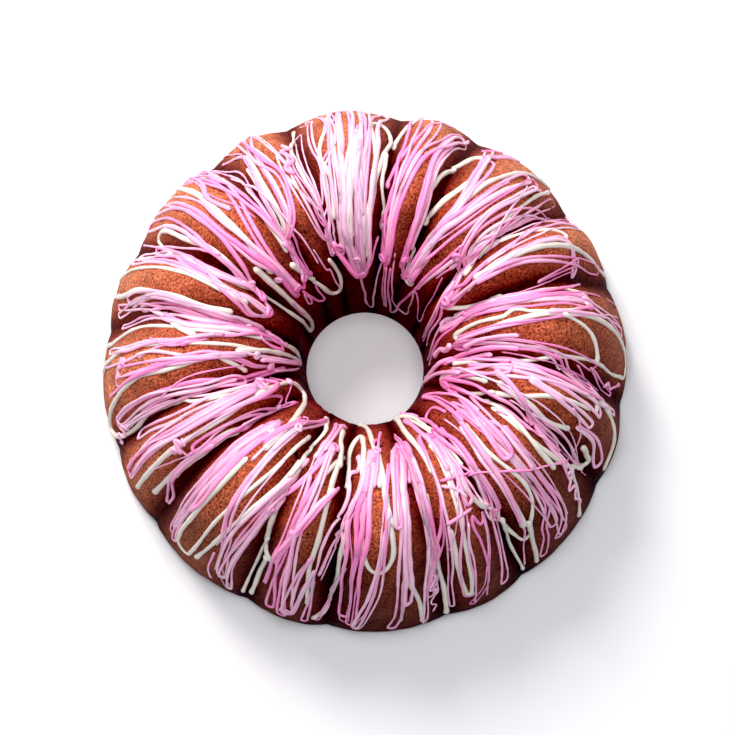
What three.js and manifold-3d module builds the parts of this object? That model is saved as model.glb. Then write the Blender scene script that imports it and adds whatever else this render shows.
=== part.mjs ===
// A bundt cake: one baked ring, fluted by its tin, with thick white icing drizzled to and fro over it.
// Millimetres, +Z up. The origin is on the ring's axis, at the flat base that the cake stands on.
import * as THREE from "three";
import Module from "manifold-3d";

const { degToRad, lerp, smoothstep } = THREE.MathUtils;
const FULL_TURN = 2 * Math.PI;

// The ring's section: a straight tube wall, a round inner shoulder, an outer side that leans in as it rises
// from a rounded base edge, and a flat base.
const OUTER_RADIUS = 125;
const CREST_RADIUS = 73;
const HOLE_RADIUS = 28;
const HEIGHT = 88;
const TUBE_RADIUS = 31;
const TUBE_HEIGHT = 24;
const BASE_EDGE = 3;
const OUTER_CENTRE_DROP = 28;

// The flutes: in each sector a wide lobe and a narrow one, with a sharp groove between them.
const SECTORS = 8;
const SECTOR = FULL_TURN / SECTORS;
const WIDE_LOBE = degToRad(26.5);
const FIRST_LOBE_START = degToRad(-8.2);
const WIDE_ROUNDNESS = 2.3;
const NARROW_ROUNDNESS = 1.8;
const GROOVE_DEPTH = 10;
const FOOT_GROOVE_DEPTH = 2.4;
const FOOT_TOP = 6;
const FULL_GROOVE_HEIGHT = 46;
const INNER_GROOVE_START = 40;
const INNER_GROOVE_FULL = 82;

// The slow unevenness of a baked cake: lobes of [waves round the ring, phase, size].
const UNEVENNESS = [
  [2, 0.7, 0.5],
  [3, 2.1, 0.6],
  [7, 4.4, 0.4],
];

// The facets, and the least space between a row and a turn of the drizzle, as a share of the row spacing.
const WIDE_STEPS = 8;
const NARROW_STEPS = 6;
const ROWS = 14;

// The drizzle: one rope of icing that goes out and back over the ring, with a round turn at each end.
const DRIZZLE_WIDTH = 3.2;
const DRIZZLE_TOP_WIDTH = 1.7;
const DRIZZLE_RISE = 1.7;
const DRIZZLE_ROOT = 1.3;
const INNER_REACH = 0.31;
const TURN_STEPS = 4;
const ROW_CLEARANCE = 0.3;

// The drizzle's largest loops as they lie on the cake: the outer turn's angle in degrees, how far out it
// reaches over the section, its width in degrees, and the angles at which the loop leaves and comes back.
const LOOPS = [
  [4.5, 0.92, 5, -1.3, 8.2],
  [28, 0.635, 4.5, 25.7, 37.5],
  [47, 0.675, 5, 41.5, 53.2],
  [59.8, 0.74, 2.5, 54.5, 66],
  [76.5, 0.9, 6.5, 67.5, 87],
  [101.7, 0.92, 5, 97, 109.5],
  [133.5, 0.92, 5, 129.5, 145],
  [150.3, 0.78, 2.4, 148.7, 157.5],
  [160.3, 0.92, 5.5, 160, 169.5],
  [174, 0.92, 1.6, 172.5, 182],
  [192.6, 0.92, 4.5, 188.5, 201],
  [226.2, 0.88, 4.6, 226.5, 241],
  [246, 0.69, 3.2, 248.5, 261.5],
  [274, 0.665, 7, 269, 278.7],
  [293.4, 0.86, 1.6, 293.6, 300],
  [310.8, 0.8, 2.8, 308.3, 333],
  [335.2, 0.885, 2.8, 328, 338.5],
];

// The section's outline from the hole's lower edge, up over the crest and down to the outer lower edge.
function sectionOutline() {
  const outline = new THREE.CurvePath();
  const quarter = Math.PI / 2;
  const innerWidth = CREST_RADIUS - TUBE_RADIUS;
  const innerRise = HEIGHT - TUBE_HEIGHT;
  const outerRise = HEIGHT + OUTER_CENTRE_DROP;
  const outerEnd = Math.asin((BASE_EDGE + OUTER_CENTRE_DROP) / outerRise);
  const outerWidth = (OUTER_RADIUS - CREST_RADIUS) / Math.cos(outerEnd);
  outline.add(
    new THREE.LineCurve(
      new THREE.Vector2(HOLE_RADIUS, 0),
      new THREE.Vector2(TUBE_RADIUS, TUBE_HEIGHT),
    ),
  );
  outline.add(
    new THREE.EllipseCurve(CREST_RADIUS, TUBE_HEIGHT, innerWidth, innerRise, Math.PI, quarter, true),
  );
  outline.add(
    new THREE.EllipseCurve(
      CREST_RADIUS,
      -OUTER_CENTRE_DROP,
      outerWidth,
      outerRise,
      quarter,
      outerEnd,
      true,
    ),
  );
  outline.add(
    new THREE.EllipseCurve(OUTER_RADIUS - BASE_EDGE, BASE_EDGE, BASE_EDGE, BASE_EDGE, 0, -quarter, true),
  );
  return outline;
}

const section = sectionOutline();
const sectionLength = section.getLength();
const edgeTravel = 1 - (BASE_EDGE * Math.PI) / 2 / sectionLength;

// The travel of each row of facets: even steps to the top of the base edge, and then the base.
const rowTravels = [...Array.from({ length: ROWS }, (_, row) => (edgeTravel * row) / (ROWS - 1)), 1];

// The angles at which one lobe ends and the next begins, with the roundness of the lobe that begins.
function lobeStarts() {
  const starts = [];
  for (let sector = 0; sector < SECTORS; sector++) {
    const angle = FIRST_LOBE_START + sector * SECTOR;
    starts.push({ angle, width: WIDE_LOBE, roundness: WIDE_ROUNDNESS, steps: WIDE_STEPS });
    starts.push({
      angle: angle + WIDE_LOBE,
      width: SECTOR - WIDE_LOBE,
      roundness: NARROW_ROUNDNESS,
      steps: NARROW_STEPS,
    });
  }
  return starts;
}

const lobes = lobeStarts();

// How deep a point round the ring lies in a groove: 0 along the middle of a lobe, 1 at a groove's bottom.
function grooveShare(angle) {
  const first = lobes[0].angle;
  const turned = first + THREE.MathUtils.euclideanModulo(angle - first, FULL_TURN);
  const lobe = lobes.findLast((candidate) => candidate.angle <= turned);
  const across = (2 * (turned - lobe.angle)) / lobe.width - 1;
  return Math.abs(across) ** lobe.roundness;
}

// The grooves are deep over the crest, shallow at the foot, and die out on the tube's smooth wall.
function grooveDepth(radius, height) {
  if (radius < CREST_RADIUS) {
    return GROOVE_DEPTH * smoothstep(height, INNER_GROOVE_START, INNER_GROOVE_FULL);
  }
  return lerp(FOOT_GROOVE_DEPTH, GROOVE_DEPTH, smoothstep(height, FOOT_TOP, FULL_GROOVE_HEIGHT));
}

// Baked unevenness along the surface normal, which leaves the base flat.
function unevenness(angle, height) {
  let sum = 0;
  for (const [waves, phase, size] of UNEVENNESS) {
    sum += size * Math.sin(waves * angle + phase);
  }
  return sum * smoothstep(height, 0, HEIGHT);
}

// A point of the cake's surface. Travel runs from 0 at the hole's lower edge to 1 at the outer lower edge.
function surfacePoint(angle, travel) {
  const at = section.getPointAt(travel);
  const along = section.getTangentAt(travel);
  const atBaseEdge = at.x > CREST_RADIUS && at.y < BASE_EDGE;
  const normal = atBaseEdge ? new THREE.Vector2(1, 0) : new THREE.Vector2(-along.y, along.x);
  const inward = grooveDepth(at.x, at.y) * grooveShare(angle) - unevenness(angle, at.y);
  const radius = at.x - normal.x * inward;
  const height = travel <= 0 || travel >= 1 ? 0 : Math.max(at.y - normal.y * inward, 0);
  return new THREE.Vector3(radius * Math.cos(angle), radius * Math.sin(angle), height);
}

// The surface's outward direction at a point, from its neighbours.
function surfaceNormal(angle, travel) {
  const step = 0.01;
  const before = Math.max(travel - step, 0);
  const after = Math.min(travel + step, 1);
  const round = surfacePoint(angle + step, travel).sub(surfacePoint(angle - step, travel));
  const along = surfacePoint(angle, after).sub(surfacePoint(angle, before));
  return along.cross(round).normalize();
}

// A closed surface over rings of points. The last ring joins the first, or else both ends are capped.
function skin(rings, endsJoin) {
  const count = rings[0].length;
  const indices = [];
  const lastRing = endsJoin ? rings.length : rings.length - 1;
  for (let ring = 0; ring < lastRing; ring++) {
    const next = (ring + 1) % rings.length;
    for (let i = 0; i < count; i++) {
      const a = ring * count + i;
      const b = ring * count + ((i + 1) % count);
      const c = next * count + i;
      const d = next * count + ((i + 1) % count);
      indices.push(a, d, b, a, c, d);
    }
  }
  if (!endsJoin) {
    const far = lastRing * count;
    for (let i = 1; i < count - 1; i++) {
      indices.push(0, i, i + 1, far, far + i + 1, far + i);
    }
  }
  const geometry = new THREE.BufferGeometry().setFromPoints(rings.flat());
  return geometry.setIndex(indices);
}

// The baked ring: one closed loop of section points for each column, with columns along every groove.
function bakedRing() {
  const columns = lobes.flatMap((lobe) =>
    Array.from({ length: lobe.steps }, (_, i) => lobe.angle + (lobe.width * i) / lobe.steps),
  );
  const rings = columns.map((angle) => rowTravels.map((travel) => surfacePoint(angle, travel)));
  return skin(rings.reverse(), true);
}

// The drizzle's passes, two to a loop: the angle of each at its inner and outer end, and the travel at
// which the turn after it begins.
function drizzlePasses() {
  return LOOPS.flatMap(([turn, outermost, width, leaves, returns]) => {
    const half = degToRad(width) / 2;
    const turnRadius = half * section.getPointAt(outermost).x;
    const reach = outermost - turnRadius / sectionLength;
    const middle = degToRad(turn);
    return [
      { outward: true, reach, inner: degToRad(leaves), outer: middle - half },
      { outward: false, reach: INNER_REACH, inner: degToRad(returns), outer: middle + half },
    ];
  });
}

// The round turn after a pass, as [angle, travel] points from one pass to the next.
function turnRoute(pass, next) {
  const from = pass.outward ? pass.outer : pass.inner;
  const to = pass.outward ? next.outer : next.inner;
  const half = (to - from) / 2;
  const radius = Math.abs(half) * section.getPointAt(pass.reach).x;
  const bulge = (pass.outward ? radius : -radius) / sectionLength;
  return Array.from({ length: TURN_STEPS + 1 }, (_, i) => {
    const swing = (Math.PI * i) / TURN_STEPS;
    return [from + half * (1 - Math.cos(swing)), pass.reach + bulge * Math.sin(swing)];
  });
}

// One pass with half the turn at each end. It has a point on each of the ring's rows, to lie on the facets.
function passRoute(passes, i) {
  const count = passes.length;
  const wrap = (index, turns) => {
    const pass = passes[THREE.MathUtils.euclideanModulo(index, count)];
    return { ...pass, inner: pass.inner + turns * FULL_TURN, outer: pass.outer + turns * FULL_TURN };
  };
  const before = wrap(i - 1, i === 0 ? -1 : 0);
  const pass = passes[i];
  const after = wrap(i + 1, i === count - 1 ? 1 : 0);
  const start = turnRoute(before, pass);
  const end = turnRoute(pass, after);
  const low = Math.min(before.reach, pass.reach);
  const high = Math.max(before.reach, pass.reach);
  const clear = ROW_CLEARANCE / ROWS;
  const middle = rowTravels
    .filter((travel) => travel > low + clear && travel < high - clear)
    .map((travel) => [lerp(pass.inner, pass.outer, (travel - low) / (high - low)), travel]);
  if (!pass.outward) {
    middle.reverse();
  }
  return [...start.slice(TURN_STEPS / 2), ...middle, ...end.slice(0, TURN_STEPS / 2 + 1)];
}

// A rope of icing along a route: a low, flat-topped section whose root is sunk in the cake.
function icingRope(route) {
  const spine = route.map(([angle, travel]) => surfacePoint(angle, travel));
  const rings = route.map(([angle, travel], i) => {
    const up = surfaceNormal(angle, travel);
    const ahead = spine[Math.min(i + 1, spine.length - 1)].clone().sub(spine[Math.max(i - 1, 0)]);
    const side = ahead.normalize().cross(up).normalize();
    const corner = (across, rise) =>
      spine[i].clone().addScaledVector(side, across).addScaledVector(up, rise);
    return [
      corner(-DRIZZLE_WIDTH / 2, -DRIZZLE_ROOT),
      corner(DRIZZLE_WIDTH / 2, -DRIZZLE_ROOT),
      corner(DRIZZLE_TOP_WIDTH / 2, DRIZZLE_RISE),
      corner(-DRIZZLE_TOP_WIDTH / 2, DRIZZLE_RISE),
    ];
  });
  return skin(rings, false);
}

const wasm = await Module();
wasm.setup();

// A closed geometry as a solid that can be joined to others.
function solidOf(geometry) {
  return new wasm.Manifold(
    new wasm.Mesh({
      numProp: 3,
      vertProperties: new Float32Array(geometry.getAttribute("position").array),
      triVerts: new Uint32Array(geometry.getIndex().array),
    }),
  );
}

// The ring and its drizzle as one body. Only its outer skin is kept, so no pocket stays under the icing.
function fusedCake() {
  const passes = drizzlePasses();
  const ropes = passes.map((_, i) => solidOf(icingRope(passRoute(passes, i))));
  const joined = ropes.reduce((sum, rope) => sum.add(rope), solidOf(bakedRing()));
  const bodies = joined.decompose().sort((a, b) => b.volume() - a.volume());
  const mesh = bodies[0].getMesh();
  return new THREE.BufferGeometry()
    .setAttribute("position", new THREE.BufferAttribute(mesh.vertProperties, 3))
    .setIndex(new THREE.BufferAttribute(mesh.triVerts, 1));
}

const crust = new THREE.MeshStandardMaterial({ color: 0xb0602f, roughness: 0.8, metalness: 0 });
const cake = new THREE.Mesh(fusedCake(), crust);
cake.name = "cake";

const bundtCake = new THREE.Group();
bundtCake.add(cake);

export default bundtCake;
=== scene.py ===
"""The looks of a bundt cake: its fluted crust, and white and pink icing drizzled over it strand by strand.

Shapes are worked out in millimetres on the cake's own surface. A place on it is an angle round the ring and
a travel, which runs from 0 at the hole's lower edge, up over the crest, to 1 at the outer lower edge.
"""

import math

import bpy
import numpy as np
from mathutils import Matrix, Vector


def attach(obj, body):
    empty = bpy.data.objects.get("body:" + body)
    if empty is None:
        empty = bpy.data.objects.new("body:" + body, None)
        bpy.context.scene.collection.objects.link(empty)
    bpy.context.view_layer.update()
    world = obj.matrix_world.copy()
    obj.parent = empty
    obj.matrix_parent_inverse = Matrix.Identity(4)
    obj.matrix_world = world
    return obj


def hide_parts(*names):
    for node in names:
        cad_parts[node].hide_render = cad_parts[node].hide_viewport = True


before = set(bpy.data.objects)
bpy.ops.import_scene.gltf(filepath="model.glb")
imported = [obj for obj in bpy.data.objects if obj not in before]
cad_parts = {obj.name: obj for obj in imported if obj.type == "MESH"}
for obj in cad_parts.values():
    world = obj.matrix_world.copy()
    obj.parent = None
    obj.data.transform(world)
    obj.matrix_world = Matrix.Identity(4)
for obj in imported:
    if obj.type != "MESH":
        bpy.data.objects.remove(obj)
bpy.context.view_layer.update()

MM = 0.001
FULL_TURN = 2 * math.pi
QUARTER = math.pi / 2

# The ring's section, as in the solid, and how finely each of its stretches is worked out.
SECTION_STEPS = 500
OUTER_RADIUS = 125.0
CREST_RADIUS = 73.0
HOLE_RADIUS = 28.0
HEIGHT = 88.0
TUBE_RADIUS = 31.0
TUBE_HEIGHT = 24.0
BASE_EDGE = 3.0
OUTER_CENTRE_DROP = 28.0

# The flutes, as in the solid: in each sector a wide lobe and a narrow one.
SECTOR = FULL_TURN / 8
WIDE_LOBE = math.radians(26.5)
FIRST_LOBE_START = math.radians(-8.2)
WIDE_ROUNDNESS = 2.3
NARROW_ROUNDNESS = 1.8
GROOVE_DEPTH = 10.0
FOOT_GROOVE_DEPTH = 2.4
FOOT_TOP = 6.0
FULL_GROOVE_HEIGHT = 46.0
INNER_GROOVE_START = 40.0
INNER_GROOVE_FULL = 82.0
UNEVENNESS = ((2, 0.7, 0.5), (3, 2.1, 0.6), (7, 4.4, 0.4))

# The crust's mesh and its relief: [cells round the ring, cells along the section, height].
CRUST_COLUMNS = 640
CRUST_ROWS = 148
CRUST_LUMPS = ((46, 16, 0.45), (130, 48, 0.22), (300, 110, 0.16))

# A crack and small pits in the crust: angle in degrees, travel, half the length round the ring and over it.
HOLLOWS = (
    (262.7, 0.655, 6.0, 1.3),
    (277.0, 0.35, 2.6, 1.3),
    (61.5, 0.50, 2.2, 1.2),
    (239.0, 0.42, 2.4, 1.5),
)
HOLLOW_DEPTH = 1.4

# The relief fades out at the lower edges: over what travel on the hole's side and on the outer side.
INNER_FADE = 0.05
OUTER_FADE = 0.03
CRUST_SEED = 11

# Painted shade on the crust: the direction of the side it darkens most, in degrees, and how far the
# painted shade spreads from it. The hole's wall across from it gets painted shade as well, by a share.
DARK_SIDE = 292.0
DARK_OUTER_SPREAD = (-0.2, 0.9)
DARK_OUTER_TRAVELS = (0.5, 0.72)
DARK_INNER_SHARE = 0.45
DARK_INNER_SPREAD = (-0.1, 0.8)
DARK_INNER_START = 0.5
DARK_INNER_REACH = (0.02, 0.15)

# The strands of icing: half widths in millimetres, then shares of them.
WHITE_HALF_WIDTH = 1.2
PINK_HALF_WIDTH = 1.02
THREAD_HALF_WIDTH = 0.55
WHITE_WIDTHS = (0.85, 1.1)
PINK_WIDTHS = (0.6, 1.2)
KNOT_WIDTH = 0.9
STRAY_WIDTH = 0.75
STRAND_FLATNESS = 0.82
STRAND_SINK = 0.22

# The strands' meshes: the step along a strand, which is shorter in bends, the sides, and the random seeds.
STRAND_STEP = 1.5
BEND_LENGTH = 2.2
BEND_CHECKS = 24
WHITE_SIDES = 10
PINK_SIDES = 8
WHITE_SEED = 3
PINK_SEED = 5
THREAD_SEED = 7

# How a strand sways, swells and tapers as it goes: waves are in millimetres.
LONG_WAVE = 80.0
SHORT_WAVE = 37.0
SWAY_SHARES = (0.4, 1.0)
STRAND_SWAY = 0.3
SHORT_STRAND_SWAY = 0.2
THREAD_SWAY = 0.4
STRAND_SWELLS = ((233.0, 0.22), (31.0, 0.1), (11.0, 0.06))
STRAND_LIMITS = (0.012, 0.985)
TAPER_TRAVELS = (0.5, 0.9)
WHITE_TAPER = 0.08
PINK_TAPER = 0.4
END_BULB = 0.25
END_BULB_LENGTH = 2.2
END_START = 0.15
TIP_SHARE = 0.02

# How strands pile up, and bridge the grooves.
PILE_LIMIT = 2.6
PILE_BLUR = 1.6
PILE_DIP = 0.5
BRIDGE_BLUR = 4.5
BRIDGE_LIMIT = 2.5
STRAND_CORE = 0.7

# The tone of a strand's colour, from 0, deep, to 1, light. It deepens towards the hole.
TONES = (0.2, 0.8)
TONE_SWELLS = ((310.0, 0.25), (130.0, 0.18), (47.0, 0.08))
DEEP_INNER_TONE = 0.35
DEEP_INNER_TRAVEL = 0.45
DEEP_INNER_REACH = 0.2

# White strands, placed after the photograph. Each row is a strand: angles in degrees and travels in
# percent by turns.
WHITE_ROUTES = (
    (19, 29, 16.5, 41, 15.5, 53, 15, 60, 13, 67),
    (9.5, 66, 8, 58, 8.4, 50, 10, 46.5, 8, 44, 8.4, 38, 7.2, 33.5, 4.6, 31, 3.2, 34, 3.8, 38, 6, 47,
     7, 55, 6.6, 66, 5.4, 76, 3, 86, -0.5, 92, -3.6, 88, -3.8, 70, -5, 58, -7.4, 50, -8.6, 40, -12, 29),
    (7, 56, 3, 64, -2, 69, -4, 70),
    (-9.6, 50, -10.8, 58, -12.6, 67, -14.6, 70.5, -16.2, 68, -16.8, 62, -18, 55, -21, 50, -24, 43),
    (-11, 70, -15, 83, -19, 90, -24, 94),
    (-19, 44, -21.6, 50, -24.4, 58, -23, 65),
    (57, 27, 58, 36, 54.6, 47, 53, 55, 50.6, 63, 48.6, 72, 46, 83, 44, 92),
    (64.4, 40, 60.6, 48, 57, 54, 56, 60, 57, 65.5, 58.4, 69, 61.4, 66, 64.4, 58.5, 66.4, 50, 66.6, 42),
    (41, 36, 38.6, 44, 40, 49, 41, 55, 41.6, 65, 42.6, 84),
    (33, 38, 38, 45, 36, 52, 32, 62, 29, 66.5, 27.8, 64.5, 29, 55, 29.6, 45, 26, 38),
    (28.4, 41, 28, 53, 25.6, 66, 23, 80, 20.6, 93),
    (82, 62, 79, 77, 77.4, 93),
    (88.6, 30, 89.6, 38, 87.6, 45, 84.6, 56, 83, 63, 83.8, 68.5, 86, 70, 88.4, 67, 87.4, 58, 86.6, 50,
     86.8, 44, 88.6, 38),
    (80.4, 36, 82, 42, 84, 48, 84.2, 57),
    (97.4, 36, 96, 46, 94.4, 52, 91.8, 58),
    (98.4, 37, 95, 47, 93.4, 54, 92.4, 62),
    (107.6, 36, 109.6, 46, 111, 57, 110.4, 66, 107, 86),
    (104, 40, 102.2, 50, 103.4, 57, 100, 66, 98.4, 78),
    (126, 40, 124.4, 45, 123.4, 53, 122.4, 60, 121.4, 67),
    (128, 39, 125.6, 46, 124.6, 55, 123.4, 64),
    (131, 38, 129.6, 50, 130, 58, 131.6, 70, 133.2, 88, 135.4, 92, 137.2, 86, 138, 66, 139.6, 54,
     141, 46, 143.4, 38),
    (
        152, 42, 149.6, 52, 149.6, 62, 148.6, 74, 150, 79, 151.6, 77, 154, 70, 155.6, 60, 157, 51,
        156.6, 43, 155, 37,
    ),
    (163, 40, 161.8, 48, 160, 56, 159.6, 70, 160.4, 88, 163, 92, 165.4, 86, 165.8, 70, 167, 58,
     168.4, 50, 168, 42),
    (
        178, 34, 178.4, 42, 178, 50, 176, 58, 175, 70, 176.4, 86, 178.6, 93.5, 180.6, 87, 180.4, 70,
        181.6, 57, 182.6, 50, 184, 42, 186, 34,
    ),
    (170.4, 65, 174.4, 58, 177.6, 54, 180, 50),
    (194.6, 38.5, 190, 44, 187.6, 47, 189, 51, 189.4, 57, 188.6, 66, 190.4, 83, 192.4, 93, 195, 94.5,
     197.2, 88, 197, 70, 198.6, 58, 200.6, 54, 204, 44, 206.4, 37),
    (206.6, 36, 209, 43, 210.4, 50, 210, 58, 209.8, 68, 209.4, 88),
    (216.6, 44, 214.6, 50, 214.4, 57, 214, 66, 213, 83),
    (217.6, 44, 215.4, 52, 215.2, 60, 214.2, 70),
    (226.6, 50, 226, 61, 225, 71, 224, 84, 225.8, 89, 228.4, 86, 230.6, 65, 232.6, 57, 236.6, 48,
     238.4, 41, 240, 35),
    (230, 86, 233.6, 68, 237, 58, 240.6, 50, 242, 42),
    (242.4, 44, 241.6, 50, 242.4, 57, 243, 64, 244.4, 70.5, 246.6, 71, 247.8, 68, 249.4, 60, 251.4, 50,
     256, 42, 260, 36),
    (243, 66, 242.6, 82, 242, 93),
    (245.6, 71, 244.6, 81, 243.8, 92),
    (257, 36, 257.6, 49, 257, 59, 256, 68, 257, 84),
    (265, 56, 263.6, 65, 263, 76, 261, 88, 258.4, 92.5),
    (269, 40, 268.6, 50, 269.6, 60, 270.6, 64.5, 272.6, 66.7, 275, 66, 277.4, 62, 277.8, 57, 277.4, 53),
    (276, 36, 277, 45, 277.2, 52, 278.6, 54.8, 280.2, 54, 281, 50, 282, 42, 284, 36),
    (283, 38, 282.6, 46, 282.8, 52, 282, 56),
    (279.8, 69, 282, 80, 282.4, 94),
    (291, 50, 289.6, 62, 288.9, 73, 288.8, 83, 288, 95.5),
    (293.8, 60, 293, 70, 292.9, 80, 293.3, 85, 293.9, 86.5, 294.5, 85, 294.9, 80, 295.4, 70, 297.4, 58,
     300, 48, 301, 38),
    (
        300.6, 40, 302.6, 50, 303.4, 56, 305, 61, 306.6, 62.5, 307.6, 64, 308, 70, 309.2, 77, 311, 80,
        313.4, 73, 316.6, 66, 317.6, 60, 316.4, 50, 318, 42,
    ),
    (308.4, 68, 307.6, 80, 307.4, 94),
    (313, 72, 311.6, 86, 310.6, 94),
    (315, 50, 313.2, 58, 312.4, 66, 311.6, 73),
    (331, 44, 328.4, 54, 328, 62, 329, 70, 331.4, 78, 333.6, 83.5, 335.6, 80, 336, 75),
    (329.6, 74, 326.6, 84, 324, 92),
    (334, 40, 330, 50, 327, 58, 326, 66),
    (296, 47, 296, 41, 294.5, 32, 295, 25, 296, 20, 299, 22.5, 304, 25, 307, 30, 308.5, 36, 308, 42,
     307.4, 48),
    (300, 25, 304.5, 30, 306, 35, 305, 42, 304, 48),
    (265, 20, 269.5, 23, 272.5, 28, 274, 33, 275, 40, 275.6, 47),
    (264, 46, 263.4, 40, 262.4, 33, 264.5, 30, 267.5, 29.5, 269, 33, 269.4, 40, 270, 47),
    (208, 41, 207, 36, 205.6, 31, 206, 27, 210, 23.5, 216, 22.5, 222, 25.5, 225.5, 30, 228, 35,
     229.4, 40, 229, 47),
    (240, 24.5, 244.5, 27, 246, 31, 243.4, 36, 242, 42, 240.4, 48),
    (255, 29, 256.4, 36, 257.4, 42),
    (340, 42, 340, 33, 337.4, 26.5, 334.4, 31, 335, 38, 337.6, 44),
    (113, 31, 110, 27, 108, 22.5, 110.5, 19, 114.5, 18.5, 119, 20, 124, 24.5, 129, 28, 134, 36),
    (63, 33, 62, 28, 57.6, 25, 54.4, 28, 53, 36),
    (26, 30, 21, 33, 19, 37, 17, 44),
    (146.5, 42, 147.6, 30, 147, 22, 144.6, 12, 146, 8.5, 148.6, 9, 151.6, 18, 153.6, 28, 155.5, 42),
    (176, 42, 176.4, 30, 177, 20, 178.6, 11.5, 181.6, 10.5, 183.6, 16, 184.6, 28, 186, 42),
)
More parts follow.
